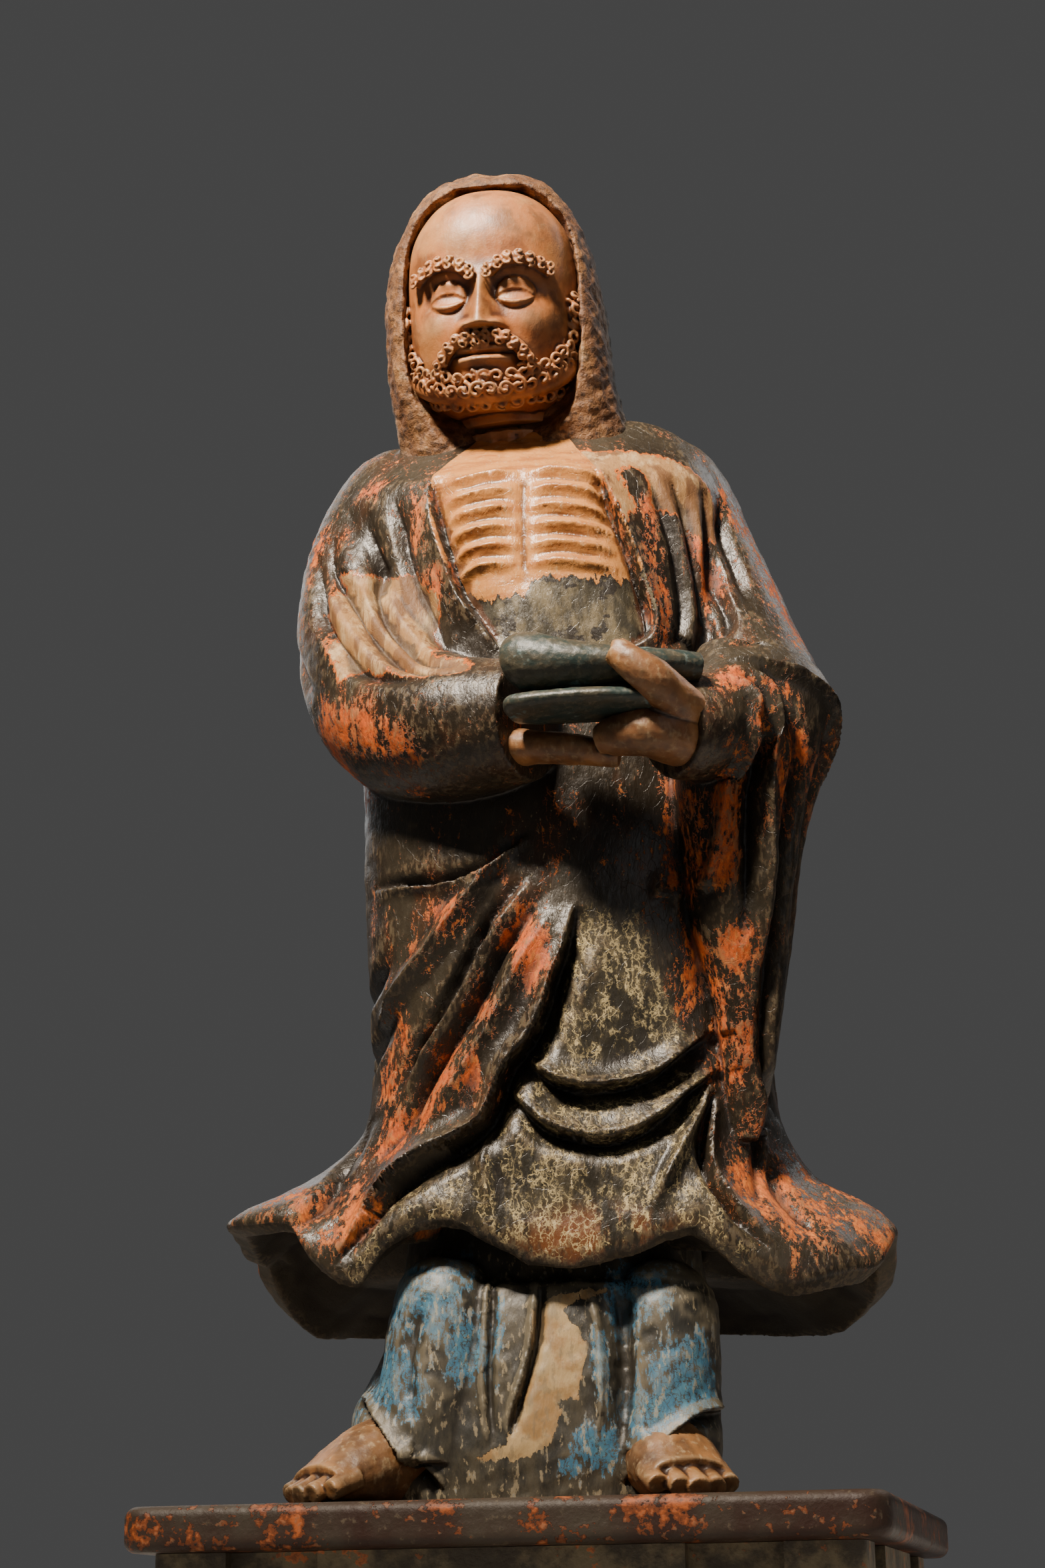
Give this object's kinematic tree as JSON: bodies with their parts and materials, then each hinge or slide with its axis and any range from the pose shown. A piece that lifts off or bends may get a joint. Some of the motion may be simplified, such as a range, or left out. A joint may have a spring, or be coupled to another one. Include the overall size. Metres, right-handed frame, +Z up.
{
  "type": "bodhidharma statue",
  "caption": "Carved wooden standing monk in a hooded robe, holding a cloth shoe, in worn dark lacquer with orange and blue paint, on a low panelled plinth.",
  "frame": {"origin": "middle of the plinth's underside", "axes": "+Z up; the plinth's front faces -Y; +X is to the right of the front view"},
  "size_m": [0.444, 0.3939, 0.9969],
  "materials": {
    "figure_lacquer": "worn satin lacquer over gesso",
    "slab_lacquer": "worn red-brown lacquer",
    "waist_paint": "worn grey-olive paint",
    "foot_lacquer": "worn dark red lacquer"
  },
  "bodies": {
    "root": {"figure": "figure_lacquer", "plinth_slab": "slab_lacquer", "plinth_waist": "waist_paint", "plinth_foot": "foot_lacquer"}
  },
  "joints": []
}
